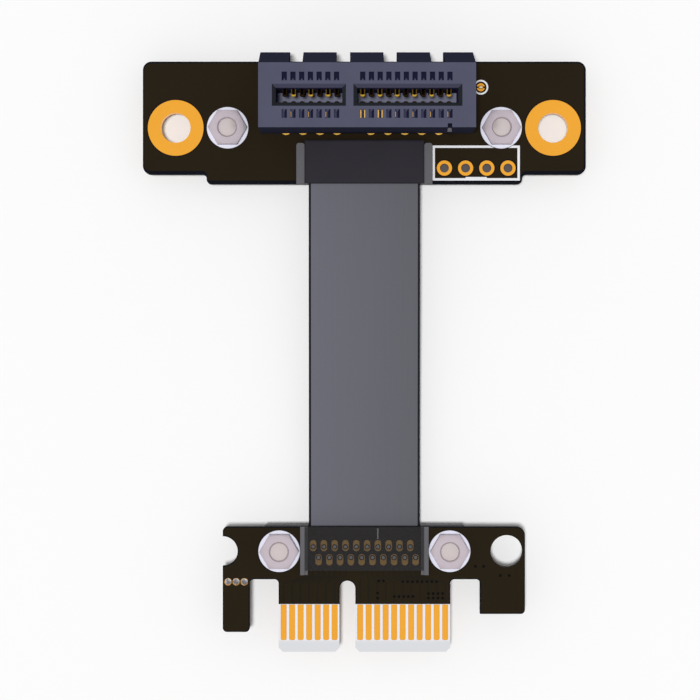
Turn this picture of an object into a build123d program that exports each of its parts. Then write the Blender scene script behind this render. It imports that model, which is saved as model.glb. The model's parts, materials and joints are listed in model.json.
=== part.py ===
from build123d import *
import math
import os

# Short extension lead for a one-lane card slot, lying on its back as on a bench.
# X runs along the boards, Y from the plug board to the socket board, Z out of the boards' fronts.
# The origin is on the floor, under the middle of the lead's outline. Lengths are in millimetres.

# Both boards
board_thickness = 1.6
foil = 0.05  # gold on the boards' faces
ink = 0.04  # printed white lines
fit = 0.05  # room round a piece that drops into a pocket
ring_sides = 24  # flats round a mounting ring
few_sides = 12  # flats round small rings and covered holes

# Card edge, the same for the tongue and the socket
contact_pitch = 1.0
short_group = 7
long_group = 11
key_gap = 3.0  # from the last place of the short group to the first of the long one

# Socket board, measured from its cable edge
socket_board_width = 52.24
socket_board_depth = 14.45
socket_waist_width = 37.2
socket_ear_step = 1.13
socket_corner = 1.0
socket_step_inner = 0.5
socket_step_outer = 0.55
mounting_hole = 3.5
mounting_ring = 6.6
mounting_spacing = 44.5
fixing_y = 6.63  # mounting holes and clamp screws share this line

# Power header place
power_hole = 1.05
power_ring = 1.9
power_pitch = 2.5
power_count = 4
power_x = 13.19  # middle of the row
power_y = 1.89
legend_line = 0.28
legend_width = 10.3
legend_low = 0.42
legend_high = 4.55
legend_bar = 2.5
legend_bar_line = 0.42

# Solder jumper
jumper_x = 13.74
jumper_y = 11.42
jumper_ring = 1.75
jumper_line = 0.2
jumper_pad = 0.95
jumper_gap = 0.22

# Card socket, measured from its own middle and from the board's front
housing_x = 0.27
housing_y = 9.7
housing_length = 25.0
housing_width = 7.44
housing_height = 11.2
standoff = 0.1  # the moulding clears the pin pads by this and the gold's thickness
slot_floor = 2.2
slot_end_margin = 1.01  # from the last contact to the end of a slot
card_clearance = 0.05  # each side of the card
key_clearance = 0.085  # each side of the key in its notch
mouth_depth = 0.6
mouth_angle = 35
window_depth = 2.3  # from the front face to the top of a contact chamber
window_near = 1.65  # window edges, from the slot's middle line
window_far = 2.65
chamber_width = 0.6
chamber_near = 0.6
chamber_foot = 0.9
chamber_foot_far = 3.5
rib_end_width = 3.5
rib_gap = 1.57
rib_count = 5
rib_reach = 2.02
rib_foot = 1.3
rib_top = 0.6
peg_diameter = 2.3
peg_spacing = 9.15
peg_length = 2.0
marker_width = 0.5
marker_depth = 0.45
marker_height = 1.1

# Sprung contacts and their solder
contact_thickness = 0.2
contact_width = 0.45
contact_root = 2.15  # from the slot's middle line
contact_tip_high = 7.2
contact_tip_gap = 0.3
contact_end = 9.2
pin_inner = 1.25
pin_outer = 3.25
pin_pad = 1.3
pin_pad_sides = 8
solder_height = 0.5

# Ribbon cable
ribbon_width = 13.12
ribbon_thickness = 1.0
ribbon_edge = 0.3
free_length = 40.36
bend_start = 12.0  # from each board to the middle of the ribbon's bend
bend_share = 0.45  # share of the shorter run that each bend takes up
conductor_count = 20
conductor_pitch = 0.635
conductor_size = 0.26

# Cover over the cable's end on the socket board
socket_grip = 2.6  # ribbon on the board
cover_width = 14.1
cover_depth = 5.18
cover_height = 1.7
cover_end_wall = 0.6
cover_edge = 0.3
socket_rail_width = 0.95
socket_rail_length = 4.78
socket_rail_height = 1.3
rail_corner = 0.3
cable_pad_length = 1.2
cable_pad_width = 0.38
cable_pad_y = 3.8

# Plug board, measured from its cable edge, downwards positive
plug_left = 16.66
plug_right = 18.89
plug_shoulder = 6.18
plug_left_corner = 0.55
plug_right_corner = 1.0
plug_small_corner = 0.5
left_leg_width = 3.17
left_leg_length = 12.38
right_leg_width = 5.28
right_leg_length = 10.26
plug_fixing_y = 2.87
edge_notch_radius = 1.75
plug_hole = 3.76
plug_hole_x = 16.73
tongue_length = 14.74
tongue_margin = 0.59  # from an outer finger to the tongue's side
key_margin = 0.565  # from a finger to the key notch
key_notch_depth = 6.35
tongue_chamfer = 0.5
bevel_length = 1.1
bevel_depth = 0.35
finger_width = 0.7
finger_start = 9.15
finger_end = 13.34
finger_corner = 0.18
perforation = 0.85
perforation_pitch = 0.95
perforation_x = -15.09
perforation_y = 6.48

# Pads where the conductors come up through the plug board
pad_rows = (2.22, 3.88)
hole_rows = (2.36, 3.63)
pad_length = 1.33
pad_width = 0.8
pad_corner = 0.25
pad_hole = conductor_size + 2 * fit
conductor_rise = 0.15
plug_grip = 1.5  # ribbon behind the board
mark_x = 1.58
mark_width = 0.14
mark_start = 0.2
mark_end = 1.44

# Film over those pads, on two stepped rails
film_width = 13.98
film_length = 5.15
film_thickness = 0.15
ledge_width = 0.38
ledge_height = 0.35
plug_rail_width = 0.88
plug_rail_length = 5.65
plug_rail_height = 0.8

# Back plates, screws, washers and nuts
socket_plate_thickness = 1.0
socket_plate_width = 36.7
socket_plate_low = 0.25
socket_plate_high = 5.3
socket_plate_top = 9.2
socket_plate_arm = 4.5
plate_relief = 0.3  # shallow pocket behind the power holes' rings
plate_relief_margin = 0.15
plug_plate_floor = 1.0
plug_plate_width = 24.8
plug_plate_overhang = 0.2
plug_plate_length = 5.5
plug_plate_pocket = 4.5
plate_corner = 0.8
plate_edge = 0.25
socket_screw_x = 16.12
plug_screw_x = 10.02
screw_diameter = 2.0
screw_hole = 2.2
screw_head = 3.8
screw_head_height = 1.3
screw_head_edge = 0.35
recess_length = 2.0
recess_width = 0.5
recess_depth = 0.7
thread_fit = 0.02
nut_flats = 4.0
nut_height = 1.6
nut_mouth = 2.4
screw_short = 0.5  # screw end below the nut's face
washer_diameter = 4.9
washer_thickness = 0.3

# Levels above the floor
socket_back = screw_head_height + socket_plate_thickness
socket_front = socket_back + board_thickness
plug_plate_thickness = plug_plate_floor + ribbon_thickness + fit
plug_back = screw_head_height + plug_plate_thickness
plug_front = plug_back + board_thickness

# Places along Y: the outline's middle is at zero
socket_reach = max(socket_board_depth, housing_y + housing_width / 2 + rib_reach)
plug_reach = max(tongue_length, left_leg_length, right_leg_length)
socket_edge = (free_length + plug_reach - socket_reach) / 2
plug_edge = socket_edge - free_length

# Places along X of the contacts and of the conductors
row_span = (short_group + long_group - 2) * contact_pitch + key_gap
short_xs = [i * contact_pitch - row_span / 2 for i in range(short_group)]
long_xs = [row_span / 2 - i * contact_pitch for i in reversed(range(long_group))]
lane_xs = short_xs + long_xs
key_x = (short_xs[-1] + long_xs[0]) / 2
key_notch = key_gap - 2 * key_margin
conductor_xs = [(i - (conductor_count - 1) / 2) * conductor_pitch for i in range(conductor_count)]
power_xs = [power_x + (i - (power_count - 1) / 2) * power_pitch for i in range(power_count)]
power_places = [(x, power_y) for x in power_xs]
perforation_xs = [perforation_x + i * perforation_pitch for i in (-1, 0, 1)]
perforation_places = [(x, -perforation_y) for x in perforation_xs]
pad_places = [(x, -pad_rows[i % 2]) for i, x in enumerate(conductor_xs)]
pad_hole_places = [(x, -hole_rows[i % 2]) for i, x in enumerate(conductor_xs)]
mounting_places = [(-mounting_spacing / 2, fixing_y), (mounting_spacing / 2, fixing_y)]
socket_screw_places = [(-socket_screw_x, fixing_y), (socket_screw_x, fixing_y)]
plug_screw_places = [(-plug_screw_x, -plug_fixing_y), (plug_screw_x, -plug_fixing_y)]
peg_places = [(housing_x + key_x, housing_y), (housing_x + key_x - peg_spacing, housing_y)]

# Each contact's pin stands in the outer or the inner hole row by turns
pin_places = []
for x in lane_xs:
    outer = round((x - lane_xs[0]) / contact_pitch) % 2 == 0
    reach = pin_outer if outer else pin_inner
    pin_places += [(housing_x + x, housing_y + reach), (housing_x + x, housing_y - reach)]


def at_socket(z):
    """Plane at height z, with its origin on the socket board's cable edge."""
    return Plane((0, socket_edge, z))


def at_plug(z):
    """Plane at height z, with its origin on the plug board's cable edge."""
    return Plane((0, plug_edge, z))


def side_on(x, y, z, facing=1):
    """Upright plane across X: its own x is +Y, or -Y when facing is -1, and its own y is +Z."""
    return Plane((x, y, z), x_dir=(0, facing, 0), z_dir=(facing, 0, 0))


def covered_hole(radius):
    """Cut a hole whose edge another piece hides, with flats that touch the radius."""
    RegularPolygon(radius, few_sides, major_radius=False, mode=Mode.SUBTRACT)


def write(part, name):
    """Label a finished piece and write it to its own file."""
    part.label = name
    export_step(part, f"parts/{name}.step")


os.makedirs("parts", exist_ok=True)

# Socket board: wide ears that step in to a waist at the cable edge
half_width = socket_board_width / 2
half_waist = socket_waist_width / 2
with BuildPart() as socket_board:
    with BuildSketch(at_socket(socket_back)):
        with BuildLine():
            FilletPolyline(
                (-half_width, socket_board_depth),
                (half_width, socket_board_depth),
                (half_width, socket_ear_step),
                (half_waist, socket_ear_step),
                (half_waist, 0),
                (-half_waist, 0),
                (-half_waist, socket_ear_step),
                (-half_width, socket_ear_step),
                radius=[
                    socket_corner, socket_corner, socket_corner, socket_step_inner,
                    socket_step_outer, socket_step_outer, socket_step_inner, socket_corner,
                ],
                close=True,
            )
        make_face()
        with Locations(*mounting_places):
            covered_hole(mounting_hole / 2 + foil)
        with Locations(*socket_screw_places):
            covered_hole(screw_hole / 2)
        with Locations(*power_places):
            covered_hole(power_hole / 2 + foil)
        with Locations(*pin_places):
            Rectangle(contact_width + 2 * fit, contact_thickness + 2 * fit, mode=Mode.SUBTRACT)
        with Locations(*peg_places):
            covered_hole(peg_diameter / 2 + fit)
    extrude(amount=board_thickness)
write(socket_board.part, "socket_board")


def plated_holes(places, hole, ring, sides):
    """Gold barrels with a flat ring on each face of the socket board."""
    with BuildPart() as plating:
        with BuildSketch(at_socket(socket_back - foil)):
            with Locations(*places):
                RegularPolygon(hole / 2 + foil, few_sides, major_radius=False)
                Circle(hole / 2, mode=Mode.SUBTRACT)
        extrude(amount=board_thickness + 2 * foil)
        with BuildSketch(at_socket(socket_front), at_socket(socket_back - foil)):
            with Locations(*places):
                RegularPolygon(ring / 2, sides, major_radius=False)
                Circle(hole / 2, mode=Mode.SUBTRACT)
        extrude(amount=foil)
    return plating.part


write(plated_holes(mounting_places, mounting_hole, mounting_ring, ring_sides), "mounting_hole_plating")
write(plated_holes(power_places, power_hole, power_ring, few_sides), "power_hole_plating")

# Printed lines: a frame round the header holes with one heavier stroke, and a ring round the jumper
legend_middle = (legend_low + legend_high) / 2
legend_height = legend_high - legend_low
with BuildPart() as socket_board_legend:
    with BuildSketch(at_socket(socket_front)):
        with Locations((power_x, legend_middle)):
            Rectangle(legend_width, legend_height)
            Rectangle(legend_width - 2 * legend_line, legend_height - 2 * legend_line, mode=Mode.SUBTRACT)
        with Locations((power_x, legend_low)):
            Rectangle(legend_bar, legend_bar_line, align=(Align.CENTER, Align.MIN))
        with Locations(*socket_screw_places):
            Circle(washer_diameter / 2 + fit, mode=Mode.SUBTRACT)
        with Locations((jumper_x, jumper_y)):
            Circle(jumper_ring / 2)
            Circle(jumper_ring / 2 - jumper_line, mode=Mode.SUBTRACT)
    extrude(amount=ink)
write(socket_board_legend.part, "socket_board_legend")

with BuildPart() as jumper_pads:
    with BuildSketch(at_socket(socket_front)):
        with Locations((jumper_x, jumper_y)):
            Circle(jumper_pad / 2)
            Rectangle(jumper_pad, jumper_gap, mode=Mode.SUBTRACT)
    extrude(amount=foil)
write(jumper_pads.part, "jumper_pads")

# Card socket: a block with two slots either side of a key, a window and a chamber for each contact
housing_top = socket_front + housing_height
housing_centre = socket_edge + housing_y
slot_width = board_thickness + 2 * card_clearance
key_rib = key_notch - 2 * key_clearance
slots = [
    (lane_xs[0] - slot_end_margin, key_x - key_rib / 2),
    (key_x + key_rib / 2, lane_xs[-1] + slot_end_margin),
]
rib_middle_width = (housing_length - 2 * rib_end_width - (rib_count - 1) * rib_gap) / (rib_count - 2)
rib_widths = [rib_end_width] + [rib_middle_width] * (rib_count - 2) + [rib_end_width]
with BuildPart() as socket_housing:
    with BuildSketch(at_socket(socket_front)):
        with Locations((housing_x, housing_y)):
            Rectangle(housing_length, housing_width)
    extrude(amount=housing_height)
    for start, end in slots:
        middle = housing_x + (start + end) / 2
        with BuildSketch(at_socket(socket_front + slot_floor)):
            with Locations((middle, housing_y)):
                Rectangle(end - start, slot_width)
        extrude(amount=housing_height - slot_floor, mode=Mode.SUBTRACT)
        with BuildSketch(at_socket(housing_top - mouth_depth)):
            with Locations((middle, housing_y)):
                Rectangle(end - start, slot_width)
        extrude(amount=mouth_depth, taper=-mouth_angle, mode=Mode.SUBTRACT)
    chamber_top = housing_height - window_depth
    for x in lane_xs:
        for facing in (1, -1):
            with BuildSketch(side_on(housing_x + x, housing_centre, socket_front, facing)):
                with BuildLine():
                    Polyline(
                        (chamber_near, 0),
                        (window_far, 0),
                        (window_far, housing_height),
                        (window_near, housing_height),
                        (window_near, chamber_top),
                        (chamber_near, chamber_top),
                        close=True,
                    )
                make_face()
            extrude(amount=chamber_width / 2, both=True, mode=Mode.SUBTRACT)
    with BuildSketch(at_socket(housing_top)):
        with Locations((housing_x + lane_xs[-1], housing_y - housing_width / 2)):
            Rectangle(marker_width, 2 * marker_depth)
    extrude(amount=-marker_height, mode=Mode.SUBTRACT)
    rib_start = housing_x - housing_length / 2
    for width in rib_widths:
        wall = side_on(rib_start, housing_centre + housing_width / 2, socket_front)
        with BuildSketch(wall):
            with BuildLine():
                Polyline(
                    (0, 0),
                    (rib_reach, 0),
                    (rib_reach, rib_foot),
                    (0, housing_height - rib_top),
                    close=True,
                )
            make_face()
        extrude(amount=width)
        rib_start += width + rib_gap
    with BuildSketch(at_socket(socket_front)):
        with Locations((housing_x, housing_y)):
            Rectangle(row_span + pin_pad + 2 * fit, 2 * pin_outer + pin_pad + 2 * fit)
    extrude(amount=foil + standoff, mode=Mode.SUBTRACT)
    with BuildSketch(at_socket(socket_front)):
        with Locations((housing_x, housing_y)):
            Rectangle(row_span + pin_pad + 2 * fit, 2 * chamber_foot_far)
    extrude(amount=chamber_foot, mode=Mode.SUBTRACT)
    with BuildSketch(at_socket(socket_front - peg_length)):
        with Locations(*peg_places):
            RegularPolygon(peg_diameter / 2, few_sides)
    extrude(amount=peg_length + chamber_foot)
write(socket_housing.part, "socket_housing")


def contact_row(facing):
    """One row of sprung contacts: bent strips with a bump that the card's gold rides on."""
    shoulder = chamber_foot / 2
    bump = contact_tip_gap + contact_thickness / 2
    window_middle = (window_near + window_far) / 2
    with BuildPart() as row:
        for x in lane_xs:
            outer = round((x - lane_xs[0]) / contact_pitch) % 2 == 0
            pin = pin_outer if outer else pin_inner
            with BuildSketch(side_on(housing_x + x, housing_centre, socket_front, facing)):
                with BuildLine():
                    Polyline(
                        (pin, -board_thickness),
                        (pin, shoulder),
                        (contact_root, shoulder),
                        (bump, contact_tip_high),
                        (window_middle, contact_end),
                    )
                trace(line_width=contact_thickness)
            extrude(amount=contact_width / 2, both=True)
    return row.part


write(contact_row(1), "socket_contacts_upper")
write(contact_row(-1), "socket_contacts_lower")

# Solder joints behind the board, a low mound over each pin's end
with BuildPart() as socket_pin_solder:
    with BuildSketch(at_socket(socket_back)):
        with Locations(*pin_places):
            RegularPolygon(pin_pad / 2, pin_pad_sides)
    extrude(amount=-solder_height)
write(socket_pin_solder.part, "socket_pin_solder")

# Gold pads in front: those of the near outer row, whose edges show below the socket
near_outer_row = [place for place in pin_places if place[1] < housing_y - pin_inner - fit]
with BuildPart() as socket_pin_pads:
    with BuildSketch(at_socket(socket_front)):
        with Locations(*near_outer_row):
            RegularPolygon(pin_pad / 2, pin_pad_sides)
            Rectangle(contact_width + 2 * fit, contact_thickness + 2 * fit, mode=Mode.SUBTRACT)
    extrude(amount=foil)
write(socket_pin_pads.part, "socket_pin_pads")

# Ribbon cable: over the socket board's front, down a gentle double bend, behind the plug board
ribbon_high = socket_front + ribbon_thickness / 2
ribbon_low = plug_back - ribbon_thickness / 2
slope_run = free_length - 2 * bend_start
bend_angle = math.atan2(ribbon_high - ribbon_low, slope_run)
bend_radius = bend_share * bend_start / math.tan(bend_angle / 2)
with BuildPart() as ribbon_cable:
    with BuildLine() as route:
        FilletPolyline(
            (0, socket_edge + socket_grip, ribbon_high),
            (0, socket_edge - bend_start, ribbon_high),
            (0, plug_edge + bend_start, ribbon_low),
            (0, plug_edge - plug_grip, ribbon_low),
            radius=bend_radius,
        )
    with BuildSketch(Plane(route.line @ 0, x_dir=(1, 0, 0), z_dir=route.line % 0)) as section:
        Rectangle(ribbon_width, ribbon_thickness)
        chamfer(section.vertices(), ribbon_edge)
    sweep()
write(ribbon_cable.part, "ribbon_cable")


# Socket end: the bared conductors step down to pads on the board, under a moulded cover
pad_top = socket_front + foil + conductor_size / 2
with BuildPart() as socket_end_conductors:
    for x in conductor_xs:
        with BuildSketch(side_on(x, socket_edge, 0)):
            with BuildLine():
                Polyline(
                    (socket_grip + conductor_size / 4, ribbon_high),
                    (cable_pad_y - cable_pad_length / 2, pad_top),
                    (cable_pad_y + cable_pad_length / 2, pad_top),
                )
            trace(line_width=conductor_size)
        extrude(amount=conductor_size / 2, both=True)
write(socket_end_conductors.part, "socket_end_conductors")

with BuildPart() as cable_pads:
    with BuildSketch(at_socket(socket_front)):
        with Locations(*[(x, cable_pad_y) for x in conductor_xs]):
            Rectangle(cable_pad_width, cable_pad_length)
    extrude(amount=foil)
write(cable_pads.part, "cable_pads")

pocket_width = ribbon_width + 2 * fit
with BuildPart() as socket_cable_cover:
    with BuildSketch(at_socket(socket_front)):
        Rectangle(cover_width, cover_depth, align=(Align.CENTER, Align.MIN))
    extrude(amount=cover_height)
    fillet(socket_cable_cover.faces().sort_by(Axis.Z)[-1].edges(), cover_edge)
    with BuildSketch(at_socket(socket_front)):
        Rectangle(pocket_width, cover_depth - cover_end_wall, align=(Align.CENTER, Align.MIN))
    extrude(amount=ribbon_thickness + fit, mode=Mode.SUBTRACT)
write(socket_cable_cover.part, "socket_cable_cover")

with BuildPart() as socket_cover_rails:
    for side in (1, -1):
        with BuildSketch(at_socket(socket_front)):
            with Locations((side * (cover_width + socket_rail_width) / 2, 0)):
                Rectangle(socket_rail_width, socket_rail_length, align=(Align.CENTER, Align.MIN))
        extrude(amount=socket_rail_height)
    far_end = socket_cover_rails.faces().group_by(Axis.Y)[-1]
    fillet(far_end.edges().filter_by(Axis.Z), rail_corner)
write(socket_cover_rails.part, "socket_cover_rails")

# Plug board: two legs, two slots and a tongue with a key notch
right_leg_inner = plug_right - right_leg_width
left_leg_inner = left_leg_width - plug_left
tongue_right = lane_xs[-1] + tongue_margin
tongue_left = lane_xs[0] - tongue_margin
with BuildPart() as plug_board:
    with BuildSketch(at_plug(plug_back)) as plug_outline:
        with BuildLine():
            FilletPolyline(
                (-plug_left, 0),
                (plug_right, 0),
                (plug_right, -right_leg_length),
                (right_leg_inner, -right_leg_length),
                (right_leg_inner, -plug_shoulder),
                (tongue_right, -plug_shoulder),
                (tongue_right, -tongue_length),
                (tongue_left, -tongue_length),
                (tongue_left, -plug_shoulder),
                (left_leg_inner, -plug_shoulder),
                (left_leg_inner, -left_leg_length),
                (-plug_left, -left_leg_length),
                radius=[
                    plug_left_corner, plug_right_corner, plug_small_corner, 0,
                    plug_small_corner, plug_small_corner, 0, 0,
                    plug_small_corner, plug_small_corner, plug_small_corner, plug_small_corner,
                ],
                close=True,
            )
        make_face()
        notch_round_y = -key_notch_depth - key_notch / 2
        with Locations((key_x, notch_round_y)):
            Circle(key_notch / 2, mode=Mode.SUBTRACT)
            Rectangle(
                key_notch,
                tongue_length + notch_round_y,
                align=(Align.CENTER, Align.MAX),
                mode=Mode.SUBTRACT,
            )
        chamfer(plug_outline.vertices().group_by(Axis.Y)[0], tongue_chamfer)
        with Locations((-plug_left, -plug_fixing_y)):
            Circle(edge_notch_radius, mode=Mode.SUBTRACT)
        with Locations((plug_hole_x, -plug_fixing_y)):
            Circle(plug_hole / 2, mode=Mode.SUBTRACT)
        with Locations(*plug_screw_places):
            covered_hole(screw_hole / 2)
        with Locations(*perforation_places):
            covered_hole(perforation / 2)
        with Locations(*pad_hole_places):
            Rectangle(pad_hole, pad_hole, mode=Mode.SUBTRACT)
    extrude(amount=board_thickness)
    tongue_middle = (tongue_left + tongue_right) / 2
    tip = side_on(tongue_middle, plug_edge - tongue_length, plug_back)
    with BuildSketch(tip):
        for level in (0, board_thickness):
            inward = bevel_depth if level == 0 else -bevel_depth
            with BuildLine():
                Polyline((0, level), (bevel_length, level), (0, level + inward), close=True)
            make_face()
    extrude(amount=tongue_right - tongue_left, both=True, mode=Mode.SUBTRACT)
write(plug_board.part, "plug_board")


def edge_fingers(level, outward):
    """Gold fingers of one face of the tongue, with clipped corners at the free end in front."""
    with BuildPart() as fingers:
        with BuildSketch(at_plug(level)) as outline:
            with Locations(*[(x, -finger_start) for x in lane_xs]):
                Rectangle(finger_width, finger_end - finger_start, align=(Align.CENTER, Align.MAX))
            if outward > 0:
                chamfer(outline.vertices().group_by(Axis.Y)[0], finger_corner)
        extrude(amount=outward)
    return fingers.part


write(edge_fingers(plug_front, foil), "edge_fingers_front")
write(edge_fingers(plug_back, -foil), "edge_fingers_back")

with BuildPart() as conductor_pads:
    with BuildSketch(at_plug(plug_front)) as pad_outline:
        with Locations(*pad_places):
            Rectangle(pad_width, pad_length)
        chamfer(pad_outline.vertices(), pad_corner)
        with Locations(*pad_hole_places):
            Rectangle(pad_hole, pad_hole, mode=Mode.SUBTRACT)
    extrude(amount=foil)
write(conductor_pads.part, "conductor_pads")

# Plug end: every other conductor turns up through the near row of holes, the rest through the far row
with BuildPart() as plug_end_conductors:
    for i, x in enumerate(conductor_xs):
        hole_y = hole_rows[i % 2]
        with BuildSketch(side_on(x, plug_edge, 0)):
            with BuildLine():
                Polyline(
                    (-plug_grip, ribbon_low),
                    (-hole_y, ribbon_low),
                    (-hole_y, plug_front + foil + conductor_rise),
                )
            trace(line_width=conductor_size)
        extrude(amount=conductor_size / 2, both=True)
write(plug_end_conductors.part, "plug_end_conductors")

with BuildPart() as plug_board_legend:
    with BuildSketch(at_plug(plug_front)):
        with Locations((mark_x, -mark_start)):
            Rectangle(mark_width, mark_end - mark_start, align=(Align.CENTER, Align.MAX))
    extrude(amount=ink)
write(plug_board_legend.part, "plug_board_legend")

# Stepped rails, and the film that lies on their inner ledges
rail_inner = film_width / 2 + fit - ledge_width
with BuildPart() as plug_cover_rails:
    for side in (1, -1):
        with BuildSketch(at_plug(plug_front)):
            with Locations((side * (rail_inner + plug_rail_width / 2), 0)):
                Rectangle(plug_rail_width, plug_rail_length, align=(Align.CENTER, Align.MAX))
        extrude(amount=plug_rail_height)
    with BuildSketch(at_plug(plug_front + ledge_height)):
        Rectangle(film_width + 2 * fit, plug_rail_length, align=(Align.CENTER, Align.MAX))
    extrude(amount=plug_rail_height, mode=Mode.SUBTRACT)
write(plug_cover_rails.part, "plug_cover_rails")

with BuildPart() as plug_cable_cover:
    with BuildSketch(at_plug(plug_front + ledge_height)):
        Rectangle(film_width, film_length, align=(Align.CENTER, Align.MAX))
    extrude(amount=film_thickness)
write(plug_cable_cover.part, "plug_cable_cover")

# Back plate of the socket board: a bar under the cable's end, with an arm up to each screw
half_plate = socket_plate_width / 2
arm_inner = half_plate - socket_plate_arm
with BuildPart() as socket_back_plate:
    with BuildSketch(at_socket(screw_head_height)) as plate_outline:
        with BuildLine():
            Polyline(
                (-half_plate, socket_plate_low),
                (half_plate, socket_plate_low),
                (half_plate, socket_plate_top),
                (arm_inner, socket_plate_top),
                (arm_inner, socket_plate_high),
                (-arm_inner, socket_plate_high),
                (-arm_inner, socket_plate_top),
                (-half_plate, socket_plate_top),
                close=True,
            )
        make_face()
        chamfer(plate_outline.vertices(), plate_corner)
        with Locations(*socket_screw_places):
            covered_hole(screw_hole / 2)
    extrude(amount=socket_plate_thickness)
    chamfer(socket_back_plate.faces().sort_by(Axis.Z)[0].outer_wire().edges(), plate_edge)
    relief = power_ring + 2 * plate_relief_margin
    with BuildSketch(at_socket(socket_back)):
        with Locations((power_x, power_y)):
            Rectangle(relief + power_xs[-1] - power_xs[0], relief)
    extrude(amount=-plate_relief, mode=Mode.SUBTRACT)
write(socket_back_plate.part, "socket_back_plate")

# Back plate of the plug board, with a pocket that holds the ribbon against the board
plate_length = plug_plate_overhang + plug_plate_length
with BuildPart() as plug_back_plate:
    with BuildSketch(at_plug(screw_head_height)) as plug_plate_outline:
        with Locations((0, plug_plate_overhang - plate_length / 2)):
            Rectangle(plug_plate_width, plate_length)
        chamfer(plug_plate_outline.vertices(), plate_corner)
        with Locations(*plug_screw_places):
            covered_hole(screw_hole / 2)
    extrude(amount=plug_plate_thickness)
    chamfer(plug_back_plate.faces().sort_by(Axis.Z)[0].outer_wire().edges(), plate_edge)
    with BuildSketch(at_plug(plug_back)):
        with Locations((0, plug_plate_overhang)):
            Rectangle(
                pocket_width,
                plug_plate_overhang + plug_plate_pocket,
                align=(Align.CENTER, Align.MAX),
            )
    extrude(amount=-(ribbon_thickness + fit), mode=Mode.SUBTRACT)
write(plug_back_plate.part, "plug_back_plate")


def clamp_screws(at_board, places, front):
    """Cross-head screws from behind, ending a little below the nuts' faces."""
    with BuildPart() as screws:
        with BuildSketch(at_board(0)):
            with Locations(*places):
                Circle(screw_head / 2)
        extrude(amount=screw_head_height)
        chamfer(screws.faces().group_by(Axis.Z)[0].edges(), screw_head_edge)
        with BuildSketch(at_board(screw_head_height)):
            with Locations(*places):
                Circle(screw_diameter / 2)
        extrude(amount=front + washer_thickness + nut_height - screw_short - screw_head_height)
        with BuildSketch(at_board(0)):
            with Locations(*places):
                Rectangle(recess_length, recess_width)
                Rectangle(recess_width, recess_length)
        extrude(amount=recess_depth, mode=Mode.SUBTRACT)
    return screws.part


def washers(at_board, places, front):
    """Flat washers on the board's front."""
    with BuildPart() as discs:
        with BuildSketch(at_board(front)):
            with Locations(*places):
                Circle(washer_diameter / 2)
                covered_hole(screw_hole / 2)
        extrude(amount=washer_thickness)
    return discs.part


def nuts(at_board, places, front):
    """Hexagon nuts on the washers, with a wider mouth than the thread."""
    bore = screw_diameter / 2 + thread_fit
    flare = nut_mouth / 2 - bore
    with BuildPart() as hexagons:
        with BuildSketch(at_board(front + washer_thickness)):
            with Locations(*places):
                RegularPolygon(nut_flats / 2, 6, major_radius=False)
                Circle(bore, mode=Mode.SUBTRACT)
        extrude(amount=nut_height)
        mouths = hexagons.edges().filter_by(GeomType.CIRCLE).group_by(Axis.Z)[-1]
        chamfer(mouths, flare)
    return hexagons.part


for board_name, at_board, places, front in (
    ("socket", at_socket, socket_screw_places, socket_front),
    ("plug", at_plug, plug_screw_places, plug_front),
):
    write(clamp_screws(at_board, places, front), f"{board_name}_board_screws")
    write(washers(at_board, places, front), f"{board_name}_board_washers")
    write(nuts(at_board, places, front), f"{board_name}_board_nuts")
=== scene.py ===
# %% [markdown]
# # A short extension lead for a card slot
# The lead is two circuit boards joined by a flat ribbon. It lies on its back, and we look straight down
# on it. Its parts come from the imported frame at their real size. This lesson dresses them in procedural
# materials, swaps the small round ones for smoother skins and adds what is too fine for the frame.

# %% Load the frame
import json
import math
from functools import partial

import bmesh
import bpy
import numpy as np
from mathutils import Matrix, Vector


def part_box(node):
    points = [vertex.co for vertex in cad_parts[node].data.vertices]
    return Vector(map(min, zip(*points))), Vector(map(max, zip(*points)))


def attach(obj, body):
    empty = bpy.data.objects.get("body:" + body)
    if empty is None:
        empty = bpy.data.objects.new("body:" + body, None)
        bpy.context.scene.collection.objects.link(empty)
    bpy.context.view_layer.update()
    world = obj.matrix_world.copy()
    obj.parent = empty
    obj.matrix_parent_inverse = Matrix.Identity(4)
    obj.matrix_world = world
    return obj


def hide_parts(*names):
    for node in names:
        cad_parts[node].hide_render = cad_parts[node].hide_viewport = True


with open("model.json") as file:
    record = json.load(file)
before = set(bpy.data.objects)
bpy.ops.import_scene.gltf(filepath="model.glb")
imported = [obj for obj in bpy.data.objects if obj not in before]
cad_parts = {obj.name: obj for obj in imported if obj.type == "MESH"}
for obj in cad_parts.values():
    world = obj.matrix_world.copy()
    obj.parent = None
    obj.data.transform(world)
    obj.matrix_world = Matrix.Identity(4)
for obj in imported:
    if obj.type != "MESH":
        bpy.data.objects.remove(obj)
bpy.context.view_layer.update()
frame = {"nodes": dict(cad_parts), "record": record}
print("frame:", len(frame["nodes"]), "nodes")

# %% [markdown]
# ## Places taken from the frame
# The places below are read from the frame's boxes, and only the sizes that a board maker would state
# are written out. Lengths are given in millimetres and used in metres.

# %% Read the boards' places
mm = 0.001
socket_low, socket_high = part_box("socket_board")
plug_low, plug_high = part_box("plug_board")
socket_edge = socket_low.y
socket_front = socket_high.z
socket_back = socket_low.z
plug_edge = plug_high.y
plug_front = plug_high.z
plug_back = plug_low.z
housing_low, housing_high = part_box("socket_housing")
housing_x = (housing_low.x + housing_high.x) / 2
slot_y = socket_edge + 9.7 * mm
print("boards:", round(socket_front / mm, 2), "and", round(plug_front / mm, 2), "mm up")

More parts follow.
